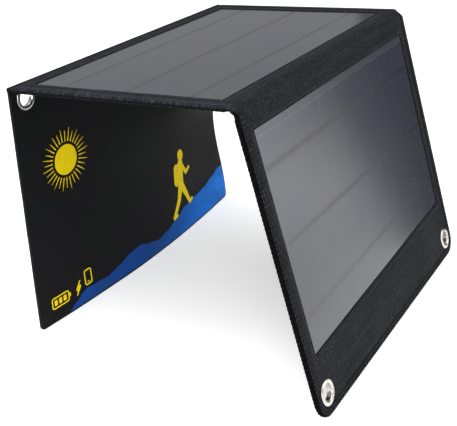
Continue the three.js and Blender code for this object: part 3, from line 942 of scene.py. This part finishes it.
join(panel_lead(), "lead_jacket", "cover", "panel_lead")


# ---- The printed picture: a generic sun, walker, hill and battery sign

INK_TOP, INK_FOOT = 0.09, -0.1  # the ink's faces, from the print's


def ink_piece(name, shape, bounds, step, look):
    x0, x1, y0, y1 = bounds
    piece = sheet_mesh(name, lines(x0, x1, step), lines(y0, y1, step), shape, lowered(print_face, -INK_TOP),
                       lowered(print_face, -INK_FOOT), on_cover, look, 60)
    join(piece, "printed_face", "cover")


def capsule(x, y, ax, ay, bx, by, radius_a, radius_b=None):
    """A thick line from a to b whose radius changes on the way."""
    radius_b = radius_a if radius_b is None else radius_b
    dx, dy = bx - ax, by - ay
    t = np.clip(((x - ax) * dx + (y - ay) * dy) / (dx * dx + dy * dy), 0, 1)
    return np.hypot(x - ax - t * dx, y - ay - t * dy) - (radius_a + (radius_b - radius_a) * t)


SUN = (71.7, 51.0)
SUN_ROUND = 0.92  # the picture is a little shorter than it is wide
SUN_DISC = 13.2
RAY_COUNT = 32
RAY_FOOT = 16.2
RAY_REACH = (27.4, 25.0)  # long and short rays take turns
RAY_RADII = (0.52, 0.16)


def sun(x, y):
    x = SUN[0] + (x - SUN[0]) / SUN_ROUND
    shapes = [np.hypot(x - SUN[0], y - SUN[1]) - SUN_DISC]
    for i in range(RAY_COUNT):
        angle = tau * (i + 0.5) / RAY_COUNT
        way = np.array([cos(angle), sin(angle)])
        shapes.append(capsule(x, y, *(SUN + RAY_FOOT * way), *(SUN + RAY_REACH[i % 2] * way), *RAY_RADII))
    return np.minimum.reduce(shapes)


# A plain walking figure with a pack: from x y to x y, and the two radii of each limb.
WALKER = [
    (125.4, 215.6, 126.4, 216.0, 5.0, 5.0), (134.5, 213.6, 153.0, 210.2, 5.0, 4.6),
    (136.5, 205.4, 148.5, 203.0, 4.9, 4.3), (155.0, 211.6, 165.5, 217.4, 3.9, 2.9),
    (165.5, 217.4, 175.0, 221.8, 2.8, 2.1), (175.2, 222.0, 173.6, 227.0, 1.8, 1.4),
    (155.0, 208.6, 167.0, 202.6, 4.0, 2.9), (167.0, 202.6, 180.0, 190.6, 2.8, 2.1),
    (180.4, 190.4, 179.6, 196.0, 1.9, 1.4), (136.4, 217.0, 145.4, 222.6, 2.3, 1.9),
    (145.4, 222.6, 142.6, 229.6, 1.9, 1.5)]


def walker(x, y):
    return np.minimum.reduce([capsule(x, y, *limb) for limb in WALKER])


# Where the hill's line turns: (y, x).
RIDGE = [(16, 204.5), (58, 188.0), (80, 189.4), (126, 181.4), (160, 188.2), (226, 175.0), (240, 174.0),
         (300, 165.5)]
HILL_SLANT = 1.15  # a mean slope, so that the distance to the line is about true
HILL_EDGES = (0, COVER_FOOT - 1.5, 0.8, LENGTH - 1.2)


def hill(x, y):
    line = np.full(np.shape(y), RIDGE[0][1])
    for (y0, x0), (y1, x1) in zip(RIDGE, RIDGE[1:]):
        line = line + (x1 - x0) * rise(y, y0, y1 - y0)
    line = line + 0.35 * np.sin(y / 3.1) + 0.25 * np.sin(y / 1.3)
    return np.maximum((line - x) / HILL_SLANT, box_distance(x, y, *HILL_EDGES, 2))


SIGN_LINE = 0.6  # half the thickness of the signs' outlines
BAR_START, BAR_END, BAR_PITCH = 16.4, 19.8, 5.2
BOLT = [(177.5, 47.5, 184.0, 43.4, 0.5, 1.3), (182.4, 46.8, 189.0, 42.6, 1.3, 0.5),
        (184.0, 43.6, 182.4, 46.6, 1.0)]


def battery_signs(x, y):
    """A battery with three bars, a bolt and a telephone."""
    parts = [np.abs(box_distance(x, y, 179.5, 188.5, 14, 33, 2)) - SIGN_LINE,
             box_distance(x, y, 182.2, 185.8, 33.8, 35.4, 0.6),
             np.abs(box_distance(x, y, 172.0, 185.0, 54, 62.0, 1.8)) - SIGN_LINE,
             capsule(x, y, 182.8, 57.1, 182.8, 58.9, 0.45)]
    parts += [box_distance(x, y, 181.6, 186.4, BAR_START + i * BAR_PITCH, BAR_END + i * BAR_PITCH, 0.5)
              for i in range(3)]
    parts += [capsule(x, y, *stroke) for stroke in BOLT]
    return np.minimum.reduce(parts)


ink_piece("print_sun", sun, (44, 99, 21, 81), 0.42, "ink_yellow")
ink_piece("print_walker", walker, (118, 184, 186, 233), 0.5, "ink_yellow")
ink_piece("print_signs", battery_signs, (170, 191, 12, 64), 0.4, "ink_yellow")
ink_piece("print_hill", hill, (160, *HILL_EDGES[1:]), 0.9, "ink_blue")


# ---- Grommets

HOLE_R = 6.2
FLANGE_R = 9.4
FLANGE_ROUND = 0.35
RING_SIDES = 72
# Radius and height of the crown, from the flange in to the hole, and of the washer.
CROWN = [(8.75, 0.46), (8.55, 0.58), (8.1, 0.78), (7.6, 0.86), (7.1, 0.80), (6.7, 0.60), (6.42, 0.28),
         (6.26, -0.1)]
WASHER = [(7.4, -0.08), (9.0, -0.08), (9.2, -0.28), (9.05, -0.5), (8.2, -0.62), (7.5, -0.6), (7.4, -0.4)]


def ring(name, profile, x, y, place):
    """A closed (radius, height) profile turned about an axis out of the leaf."""
    points, flat = [], []
    for i in range(RING_SIDES):
        angle = tau * i / RING_SIDES
        points += [(x + radius * cos(angle), y + radius * sin(angle), z) for radius, z in profile]
        flat += [(radius, angle * radius, z) for radius, z in profile]
    faces = tube_faces(RING_SIDES, len(profile), closed=True)
    return build(name, place(points), faces, "grommet_metal", flat, 50)


def grommet(prefix, where, x, y, front, back, place, body):
    """front and back are the heights of the cloth's two faces, front the one with the flange."""
    out = 1 if front > back else -1
    depth = abs(front - back)
    outer = [(FLANGE_R - FLANGE_ROUND + FLANGE_ROUND * cos(a), 0.10 + FLANGE_ROUND * sin(a))
             for a in np.radians([0, 22, 45, 68, 90])]
    barrel = [(HOLE_R, -0.6), (HOLE_R, -depth - 0.25), (6.35, -depth - 0.66), (6.8, -depth - 0.76),
              (7.2, -depth - 0.70), (7.3, -depth - 0.62), (6.85, -depth - 0.5), (6.8, -0.5), (7.3, 0.0),
              (FLANGE_R - 0.3, 0.0)]
    for kind, node, face, profile in (("grommet", "eyelet", front, outer + CROWN + barrel),
                                      ("grommet_washer", "washer", back, WASHER)):
        turned = ring(f"{prefix}_{kind}_{where}", [(r, face + out * z) for r, z in profile], x, y, place)
        join(turned, "grommet_metal", body, f"{prefix}_{node}_{where}")


for where, y in zip(("front", "back"), both_edges(GROMMET_INSET)):
    grommet("side", where, GROMMET_X, y, 0.0, -THICKNESS, on_side, "side_leaf")
for where, y in zip(("front", "back"), both_edges(COVER_GROMMET_INSET)):
    grommet("cover", where, COVER_GROMMET_X, y, COVER_THICKNESS, 0.0, on_cover, "cover")


# ---- Zip

ZIP_X = 68.0
ZIP_Y = (48.0, 252.0)
TAPE_HALF = 7.0
TAPE_FACE, TAPE_FOOT = -0.72, -0.12
TOOTH_PITCH = 1.5
TOOTH_RADIUS = 0.3
TOOTH_SIDES = 6
# One tooth's way from its tape's side over the middle: across, and out from the tape.
TOOTH = np.array([(-2.2, 0.0), (-2.1, 0.75), (-1.2, 0.98), (0.0, 1.0), (0.55, 0.8), (0.6, 0.2)])


def zip_tape():
    """A woven tape with a shallow rib down each half."""
    def face(x, y):
        return TAPE_FACE + 0.1 * np.cos(np.clip(np.abs(x - ZIP_X) - 3, 0, 4) * pi / 2)

    x0, x1 = ZIP_X - TAPE_HALF, ZIP_X + TAPE_HALF
    return sheet_mesh("zip_tape_woven", lines(x0, x1, 1), lines(*ZIP_Y, 3),
                      lambda x, y: box_distance(x, y, x0, x1, *ZIP_Y, 0.8), face, level(TAPE_FOOT), on_cover,
                      "zip_tape")


def zip_teeth():
    """A nylon coil: one bent tooth from each side in turn."""
    points, faces, flat = [], [], []
    way = np.array([TOOTH[min(k + 1, len(TOOTH) - 1)] - TOOTH[max(k - 1, 0)] for k in range(len(TOOTH))])
    way *= TOOTH_RADIUS / np.linalg.norm(way, axis=1)[:, None]
    turns = np.linspace(0, tau, TOOTH_SIDES, endpoint=False)
    for i, y in enumerate(np.arange(ZIP_Y[0] + 5, ZIP_Y[1] - 5, TOOTH_PITCH / 2)):
        mirror = 1 if i % 2 else -1
        faces += tube_faces(len(TOOTH), TOOTH_SIDES, len(points))
        for (dx, dz), (way_x, way_z) in zip(TOOTH, way):
            points += [(ZIP_X + mirror * (dx - way_z * cos(a)), y + TOOTH_RADIUS * sin(a),
                        TAPE_FACE - 0.13 - dz - way_x * cos(a)) for a in turns]
            flat += [(dx, y, dz)] * TOOTH_SIDES
    return build("zip_coil_teeth", on_cover(points), faces, "zip_coil", flat, 60)


join(zip_tape(), "zip_tape", "cover", "zip_tape")
join(zip_teeth(), "zip_coil", "cover", "zip_coil")


# ---- Pocket

POCKET_X = (76.0, 186.0)
POCKET_Y = (56.0, 244.0)
POCKET_CORNER = 11.0
POCKET_COUNT = 260
# Each ring of the pocket: how far in from its sewn line, and how far off the lining.
POCKET_OUTER = [
    (-2.6, 0.20), (-2.6, 0.75), (-0.6, 0.95), (0.8, 1.0), (1.7, 2.2), (1.6, 4.6), (2.0, 7.6), (2.5, 10.4),
    (2.6, 11.7), (2.9, 12.8), (3.7, 13.4), (4.8, 13.3), (5.7, 12.6), (7.0, 12.4), (9.5, 12.7), (14, 13.0),
    (20, 13.2), (28, 13.4), (36, 13.5), (44, 13.5), (50, 13.5), (54, 13.5)]
POCKET_INNER = [
    (54, 12.7), (44, 12.7), (28, 12.6), (14, 12.2), (7.0, 11.6), (4.6, 11.6), (3.5, 10.6), (3.2, 7.6),
    (2.8, 4.6), (2.8, 2.4), (2.0, 0.20)]


def pocket():
    """A flange sewn to the lining, a soft gusset, a piped edge and a slack front."""
    (x0, x1), (y0, y1) = POCKET_X, POCKET_Y
    centre = np.array([x1 + x0, y1 + y0]) / 2
    reach = np.array([x1 - x0, y1 - y0]) / 2
    path = np.array(loop(x0, x1, y0, y1, POCKET_CORNER, 12))
    run = run_along(path)
    at = np.linspace(0, run[-1], POCKET_COUNT, endpoint=False)
    share = (np.stack([np.interp(at, run, path[:, i]) for i in (0, 1)], 1) - centre) / reach
    rings = POCKET_OUTER + POCKET_INNER
    points = np.concatenate([
        np.concatenate([centre + share * (reach - inset), np.full((POCKET_COUNT, 1), height)], 1)
        for inset, height in rings])
    flat = points.copy()
    x, y, height = points.T  # views, which follow each move below
    slack = rise(height, 1, 8)
    sag = 0.8 * bell(x, x0, 14) - 0.4 * np.sin(pi * np.clip((y - y0) / (y1 - y0), 0, 1))
    points[:, 2] += slack * (ripples(x, y, 16, 60, 0.34, 31, 12) - sag)
    puckers = slack * bell(height, 7, 4) * 0.45 * np.sin((x + y) / 6.0)
    points[:, :2] += puckers[:, None] * np.tile(share, (len(rings), 1))
    points[:, 2] = -points[:, 2] - cover_bow(points[:, 0], points[:, 1]) * rise(height, 0, 9)
    faces = tube_faces(len(rings), POCKET_COUNT, closed=True)
    last = (len(POCKET_OUTER) - 1) * POCKET_COUNT
    del faces[last:last + POCKET_COUNT]
    for first in (last, last + POCKET_COUNT):  # the outer and the inner face of the front
        for k in range(POCKET_COUNT // 2 - 1):
            other = first + POCKET_COUNT - 1 - k
            faces.append([first + k, first + k + 1, other - 1, other])
    return build("pocket_soft_panel", on_cover(points), faces, "woven_cloth", flat, 55)


soft_pocket = join(pocket(), "woven_cloth", "cover", "pocket_panel")


# ---- Cover stitching

LINING_EDGE = 4.0
SEAM_INSET = 1.2  # how far the zip's and the pocket's stitches lie from their edges
pocket_seam = loop(POCKET_X[0] - SEAM_INSET, POCKET_X[1] + SEAM_INSET, POCKET_Y[0] - SEAM_INSET,
                   POCKET_Y[1] + SEAM_INSET, POCKET_CORNER + SEAM_INSET)
cover_rows = [
    (loop(LINING_EDGE + 1.5, COVER_FOOT - LINING_EDGE, LINING_EDGE, LENGTH - LINING_EDGE), LINING[0], -1),
    (pocket_seam, -0.9, -1)]
for x in (ZIP_X - TAPE_HALF + SEAM_INSET, ZIP_X + TAPE_HALF - SEAM_INSET):
    cover_rows.append(([(x, ZIP_Y[0] + 1), (x, ZIP_Y[1] - 1)], -0.75, -1))
join(stitches("cover_stitching", cover_rows, on_cover), "lining_cloth", "cover")


# ---- Camera, floor and light

def aimed(thing, place, backward):
    """Puts a camera or lamp at a place, with its back to backward."""
    thing.location = place
    thing.rotation_mode = "QUATERNION"
    thing.rotation_quaternion = Vector(backward).to_track_quat("Z", "Y")
    return thing


def stage_sheet(name, corners, faces, look):
    mesh = bpy.data.meshes.new(name)
    mesh.from_pydata(corners, [], faces)
    mesh.materials.append(look.material)
    thing = add(name, mesh)
    return thing


CAMERA_PLACE = (0.3192, -0.6167, 0.4007)
YAW, PITCH = radians(29.2), radians(25.61)
camera_data = bpy.data.cameras.new("camera")
camera_data.lens = 71.9
camera_data.sensor_width = 36.0
backward = (sin(YAW) * cos(PITCH), -cos(YAW) * cos(PITCH), sin(PITCH))
scene.camera = aimed(add("camera", camera_data), CAMERA_PLACE, backward)

# The floor gives some light of its own under the object and far from it, and least between.
paper = Look("floor_paper", Roughness=0.9, Specular_IOR_Level=0.1, Emission_Color=(1, 1, 1, 1))
floor_place = paper.object_place()
paper.surface(paper.ramp(paper.noise(floor_place, 0.4), (0.3, (0.86, 0.86, 0.86, 1)),
                         (0.7, (0.88, 0.88, 0.88, 1))))
away = paper.node("VectorMath", {0: floor_place}, operation="LENGTH")["Value"]
glow = paper.calc("ADD", paper.span(away, 0.20, 0.36, 0.40, 0.02), paper.span(away, 0.5, 1.6, 0.02, 0.55))
paper.feed(paper.shader.inputs["Emission Strength"], glow)
floor_corners = [(x, y, -0.0004) for x, y in ((-4, -4), (4, -4), (4, 4), (-4, 4))]
stage_sheet("floor", floor_corners, [(0, 1, 2, 3)], paper)

# The sky is pale to the eye and dimmer as a light, so gloss stays soft.
world = bpy.data.worlds.new("studio")
world.use_nodes = True
sky = world.node_tree.nodes
sky["Background"].inputs["Color"].default_value = (1, 1, 1, 1)
seen = sky.new("ShaderNodeLightPath")
strength = sky.new("ShaderNodeMapRange")
strength.inputs["To Min"].default_value = 0.45
strength.inputs["To Max"].default_value = 1.0
world.node_tree.links.new(seen.outputs["Is Camera Ray"], strength.inputs["Value"])
world.node_tree.links.new(strength.outputs[0], sky["Background"].inputs["Strength"])
scene.world = world
scene.view_settings.view_transform = "Standard"


def polar(azimuth, distance, height):
    """A place round the object: azimuth counts from +X towards +Y, in degrees."""
    angle = radians(azimuth)
    return (distance * cos(angle), distance * sin(angle), height)


def soft_box(name, place, aim, size, power):
    data = bpy.data.lights.new(name, "AREA")
    data.shape = "RECTANGLE"
    data.size, data.size_y = size
    data.energy = power
    lamp = aimed(add(name, data), place, Vector(place) - Vector(aim))
    lamp.visible_camera = False
    return lamp


soft_box("top_light", (0.1, -0.2, 1.9), (0, 0, 0), (2.4, 2.4), 48)
soft_box("front_light", polar(-68, 1.6, 0.55), (-0.05, 0, 0.12), (1.2, 0.8), 23)
soft_box("left_light", polar(196, 1.5, 0.5), (-0.1, 0, 0.1), (1.3, 0.9), 22).visible_glossy = False
soft_box("right_light", polar(36, 1.2, 0.42), (0.1, 0, 0.12), (0.75, 0.95), 3.6)

# A dark wall and floor strip behind the side leaf, which only its gloss sees.
felt = Look("flag_felt", Roughness=1.0, Specular_IOR_Level=0.0)
felt.surface(felt.ramp(felt.noise(felt.object_place(), 0.05), (0.3, (0.010, 0.010, 0.013, 1)),
                       (0.7, (0.014, 0.014, 0.018, 1))))
flag_corners = [polar(50, 0.42, 0), polar(102, 0.42, 0), polar(102, 0.42, 0.3), polar(50, 0.42, 0.3),
                polar(44, 0.30, 0), polar(102, 0.30, 0)]
flag = stage_sheet("flag", flag_corners, [(0, 1, 2, 3), (4, 5, 1, 0)], felt)
flag.visible_camera = False
flag.visible_shadow = False
flag.visible_diffuse = False
